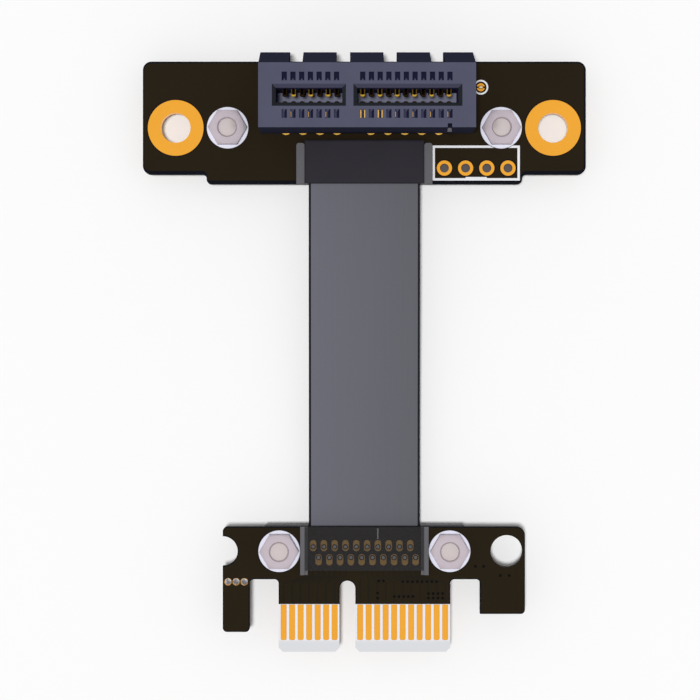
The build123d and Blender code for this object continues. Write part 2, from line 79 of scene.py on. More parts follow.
# %% Places that repeat along the boards
pitch = 1.0 * mm
row_half = 9.5 * mm
short_group = -row_half + pitch * np.arange(7)
long_group = row_half - pitch * np.arange(11)[::-1]
lanes = np.concatenate([short_group, long_group])
conductor_pitch = 0.635 * mm
conductors = conductor_pitch * (np.arange(20) - 9.5)
fixing_y = socket_edge + 6.63 * mm
plug_fixing_y = plug_edge - 2.87 * mm
socket_screws = np.array([[-16.12 * mm, fixing_y], [16.12 * mm, fixing_y]])
plug_screws = np.array([[-10.02 * mm, plug_fixing_y], [10.02 * mm, plug_fixing_y]])
outer_pin = np.round((lanes - lanes[0]) / pitch).astype(int) % 2 == 0
pin_reach = np.where(outer_pin, 3.25 * mm, 1.25 * mm)
pins = np.concatenate([
    np.column_stack([housing_x + lanes, slot_y + side * pin_reach]) for side in (1, -1)
])
print("pins:", len(pins), "conductors:", len(conductors))

# %% [markdown]
# ## Meshes worked out with numpy
# Most small parts here are a closed outline carried through a few rings: a nut, a washer, a gold pad or
# a screw. So one helper turns rings into a skin, and another repeats it at every place in a list.

# %% Skin over rings, and copies of it
def skin(rings, wrap=False):
    """Faces between neighbouring rings of a (rings, points, 3) array, each ring closed on itself.
    With wrap the last ring joins the first; otherwise a fan round its middle closes each end."""
    count, points = rings.shape[:2]
    row = np.arange(count if wrap else count - 1)[:, None]
    here = np.arange(points)[None, :]
    beside = (here + 1) % points
    above = (row + 1) % count
    quads = np.stack([row * points + here, row * points + beside,
                      above * points + beside, above * points + here], axis=-1)
    vertices = rings.reshape(-1, 3)
    faces = quads.reshape(-1, 4).tolist()
    if not wrap:
        ends = np.stack([rings[0].mean(axis=0), rings[-1].mean(axis=0)])
        vertices = np.concatenate([vertices, ends])
        first, last = count * points, count * points + 1
        top = (count - 1) * points
        fan = np.arange(points)
        step = (fan + 1) % points
        faces += np.stack([step, fan, np.full(points, first)], axis=1).tolist()
        faces += np.stack([top + fan, top + step, np.full(points, last)], axis=1).tolist()
    return vertices, faces


def repeat(vertices, faces, shifts):
    """The same skin once at each shift, as one set of vertices and faces."""
    shifts = np.asarray(shifts, dtype=float)
    moved = (vertices[None, :, :] + shifts[:, None, :]).reshape(-1, 3)
    stride = len(vertices)
    copies = [[i + k * stride for i in face] for k in range(len(shifts)) for face in faces]
    return moved, copies


def join(skins):
    """Several skins as one: each one's faces count on from the vertices before it."""
    starts = np.cumsum([0] + [len(part[0]) for part in skins[:-1]])
    faces = [[i + start for i in face] for start, part in zip(starts.tolist(), skins) for face in part[1]]
    return np.concatenate([part[0] for part in skins]), faces


def add_object(name, data):
    """An object in the scene for a mesh, a camera or a lamp."""
    thing = bpy.data.objects.new(name, data)
    bpy.context.scene.collection.objects.link(thing)
    return thing


def make_piece(name, vertices, faces, finish, slot=None, sharp=35):
    """A mesh object at the origin that rides on the lead, smooth except where the surface turns by
    more than the sharp angle. The slot argument is not used."""
    slot = slot or finish
    mesh = bpy.data.meshes.new(name)
    mesh.from_pydata(np.asarray(vertices).tolist(), [], faces)
    shell = bmesh.new()
    shell.from_mesh(mesh)
    bmesh.ops.recalc_face_normals(shell, faces=shell.faces)
    shell.to_mesh(mesh)
    shell.free()
    mesh.shade_smooth()
    mesh.set_sharp_from_angle(angle=math.radians(sharp))
    mesh.materials.append(finishes[finish])
    piece = add_object(name, mesh)
    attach(piece, "root")
    print(name, len(mesh.vertices), "vertices")
    return piece


def at_height(places, z):
    """Three-dimensional shifts for flat places at one height."""
    places = np.asarray(places, dtype=float)
    return np.column_stack([places, np.full(len(places), z)])


def stacked(levels, wrap=False):
    """A skin over flat outlines, each with its own height."""
    return skin(np.stack([at_height(outline, z) for outline, z in levels]), wrap)


def spun(profile, points=120):
    """One ring of points round an upright axis for each radius and height of a profile. A radius may
    be an array with its own value at each angle."""
    t = np.arange(points) / points * 2 * math.pi
    return np.stack([at_height(np.column_stack([r * np.cos(t), r * np.sin(t)]), z) for r, z in profile])


def turned(profile, points=64):
    """A closed profile of radii and heights carried once round an upright axis."""
    return skin(spun(profile, points), wrap=True)


def lay_out(name, shape, places, z, *finish, **how):
    """Copies of one skin at flat places and one height, as one piece."""
    return make_piece(name, *repeat(*shape, at_height(places, z)), *finish, **how)

# %% [markdown]
# ## Colours and shared finishes
# Colours are written as they look on screen, from 0 to 255, and turned into the linear values that a
# shader works with. Two effects are used by several materials, so each is a node group: a fine grain
# that breaks up colour and gloss, and a drawn-out streak like that of wiped or rolled metal.

# %% Colour and node helpers
def tone(red, green, blue):
    """A screen colour from 0 to 255 as linear red, green, blue and full opacity."""
    screen = np.array([red, green, blue]) / 255
    linear = np.where(screen <= 0.04045, screen / 12.92, ((screen + 0.055) / 1.055) ** 2.4)
    return (*linear.tolist(), 1.0)


def add_node(tree, kind, group=None, **values):
    """A shader node of one kind, or one that uses a group, with the inputs in values set."""
    node = tree.nodes.new("ShaderNode" + kind)
    if group:
        node.node_tree = group
    for key, value in values.items():
        node.inputs[key].default_value = value
    return node


def feed(tree, socket, value):
    """An output or a plain value led into a socket."""
    if isinstance(value, bpy.types.NodeSocket):
        tree.links.new(value, socket)
    else:
        socket.default_value = value


def math_node(tree, operation, *values):
    """The result of a math node, fed by an output or a number on each side."""
    node = add_node(tree, "Math")
    node.operation = operation
    for socket, value in zip(node.inputs, values):
        feed(tree, socket, value)
    return node.outputs[0]


def mix_colour(tree, mask, first, second):
    """A colour that goes from first to second as the mask goes from 0 to 1."""
    node = add_node(tree, "Mix")
    node.data_type = "RGBA"
    tree.links.new(mask, node.inputs["Factor"])
    colours = {socket.name: socket for socket in node.inputs if socket.type == "RGBA"}
    feed(tree, colours["A"], first)
    feed(tree, colours["B"], second)
    return next(socket for socket in node.outputs if socket.type == "RGBA")


def map_range(tree, value, low, high, new_low=0.0, new_high=1.0):
    """A value carried from one range to another, and held inside it."""
    node = add_node(tree, "MapRange")
    for label, number in zip(("Value", "From Min", "From Max", "To Min", "To Max"),
                             (value, low, high, new_low, new_high)):
        feed(tree, node.inputs[label], number)
    return node.outputs[0]


def split_xyz(tree, source):
    """The X, Y and Z parts of a vector output."""
    split = add_node(tree, "SeparateXYZ")
    tree.links.new(source, split.inputs[0])
    return split.outputs


def object_axes(tree):
    """The three Object coordinates of a point on the surface."""
    return split_xyz(tree, add_node(tree, "TexCoord").outputs["Object"])


def face_normal(tree):
    """The three parts of the direction that a face looks in, without smoothing."""
    return split_xyz(tree, add_node(tree, "NewGeometry").outputs["True Normal"])


def new_group(name, inputs, outputs):
    """An empty shader node group with named inputs and outputs."""
    tree = bpy.data.node_groups.new(name, "ShaderNodeTree")
    for label, kind, value in inputs:
        socket = tree.interface.new_socket(label, in_out="INPUT", socket_type="NodeSocket" + kind)
        socket.default_value = value
    for label, kind in outputs:
        tree.interface.new_socket(label, in_out="OUTPUT", socket_type="NodeSocket" + kind)
    tree.nodes.new("NodeGroupInput")
    tree.nodes.new("NodeGroupOutput")
    return tree, tree.nodes["Group Input"].outputs, tree.nodes["Group Output"].inputs

# %% Fine grain: colour, gloss and height that vary a little
def build_grain():
    """Two scales of noise: a fine one for height, and both for colour and gloss."""
    tree, given, result = new_group(
        "fine_grain",
        [("Color", "Color", (0.5, 0.5, 0.5, 1)), ("Scale", "Float", 3000), ("Tint", "Float", 0.1),
         ("Gloss", "Float", 0.4), ("Gloss Spread", "Float", 0.1)],
        [("Color", "Color"), ("Roughness", "Float"), ("Height", "Float")],
    )
    place = add_node(tree, "TexCoord")
    fine = add_node(tree, "TexNoise", Detail=3.0, Roughness=0.55)
    broad = add_node(tree, "TexNoise", Detail=2.0, Roughness=0.5)
    for noise in (fine, broad):
        tree.links.new(place.outputs["Object"], noise.inputs["Vector"])
    tree.links.new(given["Scale"], fine.inputs["Scale"])
    tree.links.new(math_node(tree, "MULTIPLY", given["Scale"], 0.07), broad.inputs["Scale"])
    blend = math_node(tree, "MULTIPLY_ADD", fine.outputs["Fac"], 0.45, broad.outputs["Fac"])
    around = map_range(tree, blend, 0.45, 1.0, -0.5, 0.5)
    colour = add_node(tree, "VectorMath")
    colour.operation = "SCALE"
    tree.links.new(given["Color"], colour.inputs[0])
    tree.links.new(math_node(tree, "MULTIPLY_ADD", around, given["Tint"], 1.0), colour.inputs["Scale"])
    gloss = math_node(tree, "MULTIPLY_ADD", around, given["Gloss Spread"], given["Gloss"])
    tree.links.new(colour.outputs[0], result["Color"])
    tree.links.new(gloss, result["Roughness"])
    tree.links.new(fine.outputs["Fac"], result["Height"])
    return tree


fine_grain = build_grain()

# %% Streaks: noise drawn out along one direction
def build_streaks():
    """Noise on coordinates that are squeezed differently along X, Y and Z, from 0 to 1."""
    tree, given, result = new_group(
        "streaks",
        [("Stretch", "Vector", (1, 1, 1)), ("Scale", "Float", 2000)],
        [("Mask", "Float")],
    )
    place = add_node(tree, "TexCoord")
    squeeze = add_node(tree, "VectorMath")
    squeeze.operation = "MULTIPLY"
    noise = add_node(tree, "TexNoise", Detail=3.0, Roughness=0.6)
    tree.links.new(place.outputs["Object"], squeeze.inputs[0])
    tree.links.new(given["Stretch"], squeeze.inputs[1])
    tree.links.new(squeeze.outputs[0], noise.inputs["Vector"])
    tree.links.new(given["Scale"], noise.inputs["Scale"])
    tree.links.new(noise.outputs["Fac"], result["Mask"])
    return tree


streaks = build_streaks()

# %% [markdown]
# ## The plain finishes
# Moulded plastic, ink, metal and nylon differ only in colour, gloss and grain, so one table and one
# function make them all. Dark parts have a low specular level, or pale surroundings would wash them out.

# %% One function and one table for the plain finishes
def grained(name, colour, grain, gloss, bump, paint=None, **levels):
    """A material from the fine grain: grain is its scale and tint, gloss its roughness and spread,
    bump its height in metres, and levels are shader inputs set by name. A paint function may work
    over its colour and roughness."""
    material = bpy.data.materials.new(name)
    material.use_nodes = True
    tree = material.node_tree
    shader = tree.nodes["Principled BSDF"]
    settings = dict(zip(("Scale", "Tint", "Gloss", "Gloss Spread"), (*grain, *gloss)))
    texture = add_node(tree, "Group", fine_grain, Color=colour, **settings)
    shown = (texture.outputs["Color"], texture.outputs["Roughness"])
    if paint:
        shown = paint(tree, *shown)
    for label, output in zip(("Base Color", "Roughness"), shown):
        tree.links.new(output, shader.inputs[label])
    if bump:
        relief = add_node(tree, "Bump", Strength=1.0, Distance=bump)
        tree.links.new(texture.outputs["Height"], relief.inputs["Height"])
        tree.links.new(relief.outputs["Normal"], shader.inputs["Normal"])
    for key, value in levels.items():
        shader.inputs[key.replace("_", " ")].default_value = value
    return material


metal = {"Metallic": 1.0}
dull = {"Specular_IOR_Level": 0.15}
matt = {"Specular_IOR_Level": 0.03}
mould = ((5200, 0.1), (0.6, 0.1), 1e-6, matt)
plain = {
    "gold": ("gold_plate", (243, 171, 59), (2500, 0.08), (0.28, 0.12), 2e-7, metal),
    "pad_gold": ("pad_gold", (240, 190, 104), (2500, 0.08), (0.35, 0.12), 2e-7, {"Metallic": 0.5}),
    "soft_gold": ("soft_gold", (255, 200, 92), (2500, 0.08), (0.4, 0.12), 2e-7, {"Metallic": 0.15}),
    "solder": ("bright_solder", (196, 197, 202), (2200, 0.15), (0.3, 0.2), 4e-7, metal),
    "blue_solder": ("wire_solder", (244, 248, 255), (2600, 0.1), (0.5, 0.12), 2e-7, dull),
    "pale_solder": ("jumper_solder", (238, 226, 196), (2600, 0.1), (0.4, 0.1), 2e-7, {"Metallic": 0.2}),
    "flux": ("hole_edge_painted_shade", (62, 44, 22), (3000, 0.1), (0.45, 0.1), 0.0, matt),
    "ink": ("white_ink", (236, 236, 240), (6000, 0.06), (0.7, 0.1), 4e-7, dull),
    "grey": ("grey_moulding", (100, 99, 103), (4000, 0.12), (0.55, 0.12), 1e-6, dull),
    "cover": ("dark_moulding", (44, 42, 48), (4200, 0.16), (0.5, 0.12), 1.2e-6, dull),
    # Copies of the slate moulding in steps darker with depth below the face: painted shade.
    "slate": ("soft_slate", (76, 77, 98), *mould),
    "shade": ("shaded_slate", (66, 68, 92), *mould),
    "navy": ("chamber_navy", (33, 33, 58), *mould),
    "conductor": ("tinned_wire", (205, 206, 212), (3000, 0.1), (0.32, 0.1), 2e-7, metal),
    "screw": ("screw_plate", (210, 199, 198), (2600, 0.1), (0.4, 0.12), 3e-7, {"Metallic": 0.5}),
    "washer": ("pale_nylon", (232, 232, 247), (3500, 0.03), (0.42, 0.1), 3e-7, dull),
    "track_mask": ("mask_over_copper", (33, 30, 25), (1800, 0.2), (0.5, 0.12), 0.0, matt),
    "hole_mask": ("mask_over_holes", (14, 13, 13), (1800, 0.2), (0.5, 0.1), 0.0, matt),
}
finishes = {
    key: grained(name, tone(*colour), grain, gloss, bump, **levels)
    for key, (name, colour, grain, gloss, bump, levels) in plain.items()
}
print("plain finishes:", ", ".join(finishes))

# %% [markdown]
# ## The nuts' tumbled nickel
# Small nuts are tumbled before plating, so their faces have a soft mottle and the colour is a little
# warm. We start from a plain finish and mix in broad streaks that roughen it in patches.

# %% Tumbled nickel
def tumbled(tree, colour, rough):
    """Rougher where the broad streaks are bright."""
    mottle = add_node(tree, "Group", streaks, Stretch=(1, 1, 0.3), Scale=1400)
    return colour, math_node(tree, "MULTIPLY_ADD", mottle.outputs["Mask"], 0.22, rough)


finishes["nut"] = grained(
    "tumbled_nickel", tone(204, 192, 200), (2400, 0.08), (0.42, 0.1), 5e-7, tumbled, Metallic=0.4
)

# %% [markdown]
# ## The boards' solder mask
# A board is glass cloth in resin under brown-black solder mask. Its cut edges are darker, and the tongue
# is bare, pale laminate. All three are one material that goes by place and by the direction a face looks
# in, so both boards can share it.

# %% Solder mask over laminate
mask_end = plug_edge - 9.10 * mm
fingers_end = plug_edge - 13.40 * mm
tongue_half_width = 12 * mm
weave_pitch = 0.42 * mm
edge_gloss = 0.62


def laminated(tree, colour, rough):
    """The given colour on the faces, dark on the cut edges and woven on the tongue, greyer past the
    fingers. The weave is one sine wave along X times one along Y."""
    calc = partial(math_node, tree)
    axes = object_axes(tree)
    cut_edge = calc("LESS_THAN", calc("ABSOLUTE", face_normal(tree)["Z"]), 0.5)
    below = calc("LESS_THAN", axes["Y"], mask_end)
    central = calc("LESS_THAN", calc("ABSOLUTE", axes["X"]), tongue_half_width)
    bare = calc("MULTIPLY", below, central)
    turn = 2 * math.pi / weave_pitch
    warp = calc("SINE", calc("MULTIPLY", axes["X"], turn))
    weft = calc("SINE", calc("MULTIPLY", axes["Y"], turn))
    weave = calc("MULTIPLY_ADD", calc("MULTIPLY", warp, weft), 0.5, 0.5)
    woven = mix_colour(tree, weave, tone(229, 234, 245), tone(233, 237, 246))
    tip = mix_colour(tree, weave, tone(220, 222, 226), tone(223, 225, 228))
    laminate = mix_colour(tree, calc("LESS_THAN", axes["Y"], fingers_end), woven, tip)
    cut = mix_colour(tree, cut_edge, colour, tone(19, 20, 21))
    resin = calc("MULTIPLY", calc("MAXIMUM", cut_edge, bare), edge_gloss)
    return mix_colour(tree, bare, cut, laminate), calc("MAXIMUM", rough, resin)


for key, colour in (("board", tone(37, 30, 19)), ("bare", tone(15, 17, 24))):
    finishes[key] = grained(
        f"{key}_laminate", colour, (1800, 0.18), (0.5, 0.14), 1.5e-6, laminated, Specular_IOR_Level=0.05
    )

# %% [markdown]
# ## The socket's moulding
# The socket is a glass-filled nylon block with a flat, dusty slate-blue front. Its outer walls, the slopes
# that lead a card into the slots and the faces sunk below the front carry painted shade. The upper slopes,
# the walls inside the slots and the slots' deep floors carry painted light. The direction and place of a
# face tell these apart. Short flow streaks run along the block.

# %% Moulded slate-blue nylon
windows_reach = 3 * mm
windows_half_width = 12 * mm
floor_level = socket_front + 3 * mm
face_level = housing_high.z - 0.5 * mm


def moulding_painted_shade_and_light(tree, colour, rough):
    """Slate blue where a face looks up. Painted shade darkens the outer walls, the lower and side slopes
    and the faces sunk below the front. Painted light makes the walls inside the slots and their windows
    bluer, gives the upper slopes the lighter of two tones and makes the slots' deep floors paler."""
    calc = partial(math_node, tree)
    flow = add_node(tree, "Group", streaks, Stretch=(0.12, 1, 1), Scale=900)
    faint = calc("MULTIPLY", flow.outputs["Mask"], 0.1)
    paler = mix_colour(tree, faint, colour, tone(100, 101, 120))
    axes = object_axes(tree)
    # Painted shade on faces sunk below the front, and painted light on the slots' deep floors below them.
    sunk = calc("LESS_THAN", axes["Z"], face_level)
    deep = calc("LESS_THAN", axes["Z"], floor_level)
    floors = mix_colour(tree, deep, tone(26, 26, 40), tone(122, 123, 142))
    face = mix_colour(tree, sunk, paler, floors)
    normal = face_normal(tree)
    # Painted light on the upper slopes and painted shade on the other slopes.
    upper_slope = calc("LESS_THAN", normal["Y"], -0.5)
    slope = mix_colour(tree, upper_slope, tone(46, 49, 54), tone(82, 82, 104))
    is_slope = calc("GREATER_THAN", normal["Z"], 0.4)
    # Painted light on the walls inside the slots and their windows, and painted shade on the outer walls.
    off_slots = calc("ABSOLUTE", calc("SUBTRACT", axes["Y"], slot_y))
    off_middle = calc("ABSOLUTE", calc("SUBTRACT", axes["X"], housing_x))
    beside = calc("MULTIPLY", calc("LESS_THAN", off_slots, windows_reach),
                  calc("LESS_THAN", off_middle, windows_half_width))
    inside = calc("MULTIPLY", beside, calc("GREATER_THAN", axes["Z"], socket_front))
    wall = mix_colour(tree, inside, tone(56, 58, 78), tone(92, 94, 134))
    side = mix_colour(tree, is_slope, wall, slope)
    is_face = calc("GREATER_THAN", normal["Z"], 0.9)
    return mix_colour(tree, is_face, side, face), rough


finishes["moulding"] = grained(
    "slate_moulding_painted_shade_and_light", tone(84, 85, 104), (5200, 0.1), (0.6, 0.12), 1.6e-6, moulding_painted_shade_and_light, Specular_IOR_Level=0.0
)

# %% [markdown]
# ## The ribbon's jacket
# The jacket is extruded, so its faint die lines run lengthwise. Painted light falls off across it from one
# side to the other, and a dark band runs along each edge.

# %% Extruded jacket
ribbon_low, ribbon_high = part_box("ribbon_cable")
ribbon_half = (ribbon_high.x - ribbon_low.x) / 2
edge_band_width = 0.27 * mm


def extruded_with_painted_light(tree, colour, rough):
    """Painted light falling off from one side to the other in place of the grain's colour, with the die
    lines and a dark band along each edge.
    """
    calc = partial(math_node, tree)
    axes = object_axes(tree)
    # Painted light: lighter on one side of the ribbon, darker on the other.
    across = map_range(tree, axes["X"], -ribbon_half, ribbon_half)
    painted_side_light = mix_colour(tree, across, tone(105, 105, 115), tone(96, 97, 103))
    lines = add_node(tree, "Group", streaks, Stretch=(1, 0.015, 0.2), Scale=2600)
    faint = calc("MULTIPLY", lines.outputs["Mask"], 0.1)
    lined = mix_colour(tree, faint, painted_side_light, tone(128, 128, 138))
    # A dark band along each edge.
    edge_band = calc("GREATER_THAN", calc("ABSOLUTE", axes["X"]), ribbon_half - edge_band_width)
    return mix_colour(tree, edge_band, lined, tone(26, 26, 30)), rough


finishes["ribbon"] = grained(
    "ribbon_jacket", tone(104, 104, 112), (2600, 0.07), (0.48, 0.1), 8e-7, extruded_with_painted_light, Specular_IOR_Level=0.12
)

# %% [markdown]
# ## The smoky film
# A dark film covers the soldered wires on the plug board, and the pads show through it. Real film
# absorbs light in its thickness, but alpha says the same for a sheet this thin.

# %% See-through film: two fifths of the light stops in it
smoke = {"Specular_IOR_Level": 0.05, "Alpha": 0.4}
finishes["film"] = grained("smoky_film", tone(58, 57, 58), (900, 0.05), (0.25, 0.12), 0.0, **smoke)

# %% Dress every node of the frame
slot_of = {part["node"]: part["material_slot"] for part in frame["record"]["subparts"]}
for node, thing in frame["nodes"].items():
    thing.data.materials.clear()
    thing.data.materials.append(finishes[slot_of[node]])
print("dressed", len(slot_of), "nodes")

# %% [markdown]
# ## Clamp nuts
# A nut's corners are cut back by a shallow cone on both faces, and that makes the curved lines on its
# flats. At each angle and height we take the smaller radius of the hexagon and the cone, which gives
# those curves with no Boolean. The bore has its thread.

# %% Nuts as one closed ring of profiles
nut_apothem = 2.0 * mm
nut_height = 1.6 * mm
nut_bore = 1.11 * mm
nut_mouth = 1.2 * mm
face_share = 0.955
chamfer_angle = math.radians(30)
chamfer_depth = 0.24 * mm
washer_height = 0.3 * mm
thread_pitch = 0.4 * mm
thread_depth = 0.07 * mm
around = np.arange(120) / 120 * 2 * math.pi
hexagon = nut_apothem / np.cos(np.mod(around, math.pi / 3) - math.pi / 6)


def nut_profile():
    """Outside: the smaller of the hexagon's radius and a 30 degree cone from each face.
    Inside: the bore's radius less a triangle wave along the axis, which is the thread."""
    cuts = np.linspace(0, chamfer_depth, 7)
    side = np.concatenate([cuts, nut_height - cuts[::-1]])
    cone = face_share * nut_apothem + np.minimum(side, nut_height - side) / math.tan(chamfer_angle)
    outside = [(np.minimum(hexagon, c), z) for c, z in zip(cone, side)]
    mouth = [(nut_mouth, nut_height), (nut_bore, nut_height - 0.12 * mm)]
    depth = np.arange(1, 6) * thread_pitch / 2
    thread = [(nut_bore - thread_depth * (k % 2), nut_height - 0.16 * mm - d)
              for k, d in enumerate(depth, start=1)]
    foot = [(nut_bore, 0.1 * mm), (nut_mouth, 0)]
    return outside + mouth + thread + foot


boards = (("socket", socket_screws, socket_front), ("plug", plug_screws, plug_front))
nut_skin = turned(nut_profile(), len(around))
for board, places, front in boards:
    seat = front + washer_height
    nut_piece = lay_out(f"{board}_clamp_nuts", nut_skin, places, seat, "nut")
    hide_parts(f"{board}_board_nuts")

# %% [markdown]
# ## Washers and screws
# Each washer is a rounded profile spun round the screw. Each screw is pushed in from behind, has a pan
# head with a cross recess, and ends just below the face of its nut.

# %% Washers
washer_inner = 1.1 * mm
washer_outer = 2.45 * mm
washer_edge = 0.07 * mm


def washer_profile():
    """A flat profile whose outer corners are quarter circles."""
    turn = np.linspace(0, math.pi / 2, 5)
    lower = [(washer_outer - washer_edge * (1 - math.sin(t)), washer_edge * (1 - math.cos(t)))
             for t in turn]
    upper = [(r, washer_height - z) for r, z in lower[::-1]]
    return lower + upper + [(washer_inner, washer_height), (washer_inner, 0)]


washer_skin = turned(washer_profile(), len(around))
for board, places, front in boards:
    disc_piece = lay_out(f"{board}_clamp_washers", washer_skin, places, front, "washer")
    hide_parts(f"{board}_board_washers")

# %% Screws
head_radius = 1.9 * mm
head_height = 1.3 * mm
shaft_radius = 1.06 * mm
recess_half_length = 1.0 * mm
recess_half_width = 0.24 * mm
recess_depth = 0.7 * mm
round_width = 0.42 * mm
round_height = 0.5 * mm
threaded_length = 1.6 * mm
screw_short = 0.2 * mm


def cross_outline(half_length, half_width):
    """Radius of a plus sign at each angle: an arm's end or side stops it, and of the two arms the
    longer reach counts."""
    def reach(along, beside):
        side = half_width / np.maximum(np.abs(beside), 1e-6)
        return np.minimum(half_length / np.maximum(np.abs(along), 1e-6), side)
    return np.maximum(reach(np.cos(around), np.sin(around)), reach(np.sin(around), np.cos(around)))


def screw_profile(end):
    """From the recess's floor, over the pan head and along the shaft to its tip."""
    cross = cross_outline(recess_half_length, recess_half_width)
    recess = [(0.55 * cross, recess_depth), (cross, 0.02 * mm), (cross * 1.03, 0)]
    turn = np.linspace(0, math.pi / 2, 7)
    head = [(head_radius - round_width * (1 - math.sin(t)), round_height * (1 - math.cos(t)))
            for t in turn]
    under = [(head_radius, head_height), (shaft_radius, head_height)]
    turns = np.arange(1, 8) * thread_pitch / 2
    thread = [(shaft_radius - thread_depth * (k % 2), end - threaded_length + t)
              for k, t in enumerate(turns)]
    tip = [(shaft_radius, end - 0.1 * mm), (shaft_radius - 0.02 * mm, end - 0.03 * mm),
           (shaft_radius - 0.07 * mm, end)]
    return recess + head + under + thread + tip


for board, places, front in boards:
    screw = skin(spun(screw_profile(front + washer_height + nut_height - screw_short)))
    screw_piece = lay_out(f"{board}_clamp_screws", screw, places, 0.0, "screw")
    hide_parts(f"{board}_board_screws")

# %% [markdown]
# ## Gold on the boards
# The outline of a rounded rectangle is a small circle whose four quarters are pushed out to the corners
# of a smaller rectangle. Two rings of it with a narrower one on top make a pad with a soft rim.

# %% Pads from rounded outlines
foil = 0.05 * mm


def rounded(width, length, corner, high_corner=None, points=28):
    """Each quarter circle moves out to its own corner, by half the width and half the length less the
    radius. The two high corners may differ from the low ones."""
    t = (np.arange(points) + 0.5) / points * 2 * math.pi
    radius = np.where(np.sin(t) > 0, corner if high_corner is None else high_corner, corner)
    x = np.sign(np.cos(t)) * (width / 2 - radius) + radius * np.cos(t)
    y = np.sign(np.sin(t)) * (length / 2 - radius) + radius * np.sin(t)
    return np.stack([x, y], axis=1)


def foil_pad(outline, rise, rim=0.015 * mm):
    """An outline lifted by rise, with its last ring drawn in by the rim all round."""
    inward = outline * (1 - 2 * rim / np.ptp(outline, axis=0))
    return stacked([(outline, 0.0), (outline, rise - math.copysign(rim, rise)), (inward, rise)])


finger_width = 0.7 * mm
finger_start = 9.15 * mm
finger_end = 13.34 * mm
finger_outline = rounded(finger_width, finger_end - finger_start, 0.22 * mm, 0.01 * mm)
finger_places = np.column_stack([lanes, np.full(len(lanes), plug_edge - (finger_start + finger_end) / 2)])
for face, level, rise in (("front", plug_front, foil), ("back", plug_back, -foil)):
    finger = foil_pad(finger_outline, rise)
    finger_piece = lay_out(f"tongue_fingers_{face}", finger, finger_places, level, "gold")
    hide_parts(f"edge_fingers_{face}")

# %% Oval pads and the tips of the wires
pad_rows = np.array([2.22, 3.88]) * mm
hole_rows = np.array([2.36, 3.63]) * mm
row_of = np.arange(20) % 2
pad_places = np.column_stack([conductors, plug_edge - pad_rows[row_of]])
tip_places = np.column_stack([conductors, plug_edge - hole_rows[row_of]])
oval = rounded(0.76 * mm, 1.32 * mm, 0.36 * mm, points=36)
oval_piece = lay_out("wire_pads", foil_pad(oval, foil), pad_places, plug_front, "pad_gold", "gold")
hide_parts("conductor_pads")


def dome(radius, height, points=20, levels=6):
    """A low dome: its height falls with the fourth power of the distance from the middle."""
    share = np.linspace(1, 0.12, levels)
    return skin(spun(zip(radius * share, height * (1 - share ** 4)), points))


pad_face = plug_front + foil
bead = dome(0.2 * mm, 0.08 * mm)
lay_out("wire_solder_beads", bead, tip_places, pad_face, "blue_solder", "solder", sharp=80)
# A flat dark ring round each bead is painted shade of the hole's edge.
drilled = rounded(0.62 * mm, 0.62 * mm, 0.309 * mm)
rim = foil_pad(drilled, 0.02 * mm, 0.005 * mm)
lay_out("wire_hole_rims", rim, tip_places, pad_face, "flux", "solder")

# %% Pin pads in front and solder cones behind the socket
near_row = pins[(pins[:, 1] < slot_y - 2 * mm)]
disc = rounded(1.3 * mm, 1.3 * mm, 0.649 * mm, points=36)
land = foil_pad(disc, foil)
disc_piece = lay_out("socket_pin_lands", land, near_row, socket_front, "soft_gold", "gold")
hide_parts("socket_pin_pads")


def solder_cone(radius=0.65 * mm, height=0.62 * mm, pin=0.2 * mm, tail=0.9 * mm, points=24, levels=8):
    """A hollow curve: the radius shrinks with the square of what is left of the height, down to the
    pin's own, and the pin's rounded end stands out of it."""
    share = np.linspace(0, 1, levels)
    radii = pin + (radius - pin) * (1 - share) ** 2
    depths = height * share
    radii = np.concatenate([radii, [pin, 0.6 * pin]])
    depths = np.concatenate([depths, [tail - 0.06 * mm, tail]])
    return skin(spun(zip(radii, -depths), points))


cone = solder_cone()
cone_piece = lay_out("pin_solder_cones", cone, pins, socket_back, "solder", sharp=60)
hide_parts("socket_pin_solder")

# %% [markdown]
# ## The socket's sprung contacts
# A contact is stamped from thin strip. It stands in its chamber, leans in to a smooth bump that the
# card's finger rides on, and leans back out again, forked past the bump. The bump of every second one in
# the upper row is gold, and the rest of the contacts are painted brown as shade.

# %% Contacts as strips along a hyperbola
strip_thickness = 0.15 * mm
strip_crown = 0.13 * mm
strip_half_width = 0.28 * mm
prong_width = 0.12 * mm
prong_light = 0.18
bump_height = 7.2 * mm
bump_radius = 0.22 * mm
root_reach = 2.15 * mm
shoulder_height = 0.45 * mm
tip_reach = 2.0 * mm
tip_height = 8.85 * mm
lit_from = bump_height - 0.25 * mm
lit_to = bump_height + 0.35 * mm
board_thickness = socket_front - socket_back


def strip_along(path, x_low, x_high, columns=2):
    """A crowned strip: at each point of a path across the socket, two points stand half a thickness
    either side of it along its normal, in columns along X. Each column is set back by the square of
    its distance from the middle."""
    run = np.gradient(path, axis=0)
    run /= np.linalg.norm(run, axis=1)[:, None]
    side = np.column_stack([-run[:, 1], run[:, 0]]) * strip_thickness / 2
    across = np.linspace(x_low, x_high, columns)
    corners = [(x, 1) for x in across] + [(x, -1) for x in across[::-1]]
    return skin(np.stack([
        np.column_stack([np.full(len(path), x),
                         path + sign * side + (strip_crown * (x / strip_half_width) ** 2, 0)])
        for x, sign in corners
    ], axis=1))


def lean(z, bump_reach):
    """Distance from the slot's middle: a hyperbola with its tip at the bump, flatter below than above."""
    below = (root_reach - bump_reach) / (bump_height - shoulder_height)
    above = (tip_reach - bump_reach) / (tip_height - bump_height)
    rise = np.where(z < bump_height, below, above) * (z - bump_height)
    return bump_reach + np.sqrt(rise ** 2 + bump_radius ** 2) - bump_radius


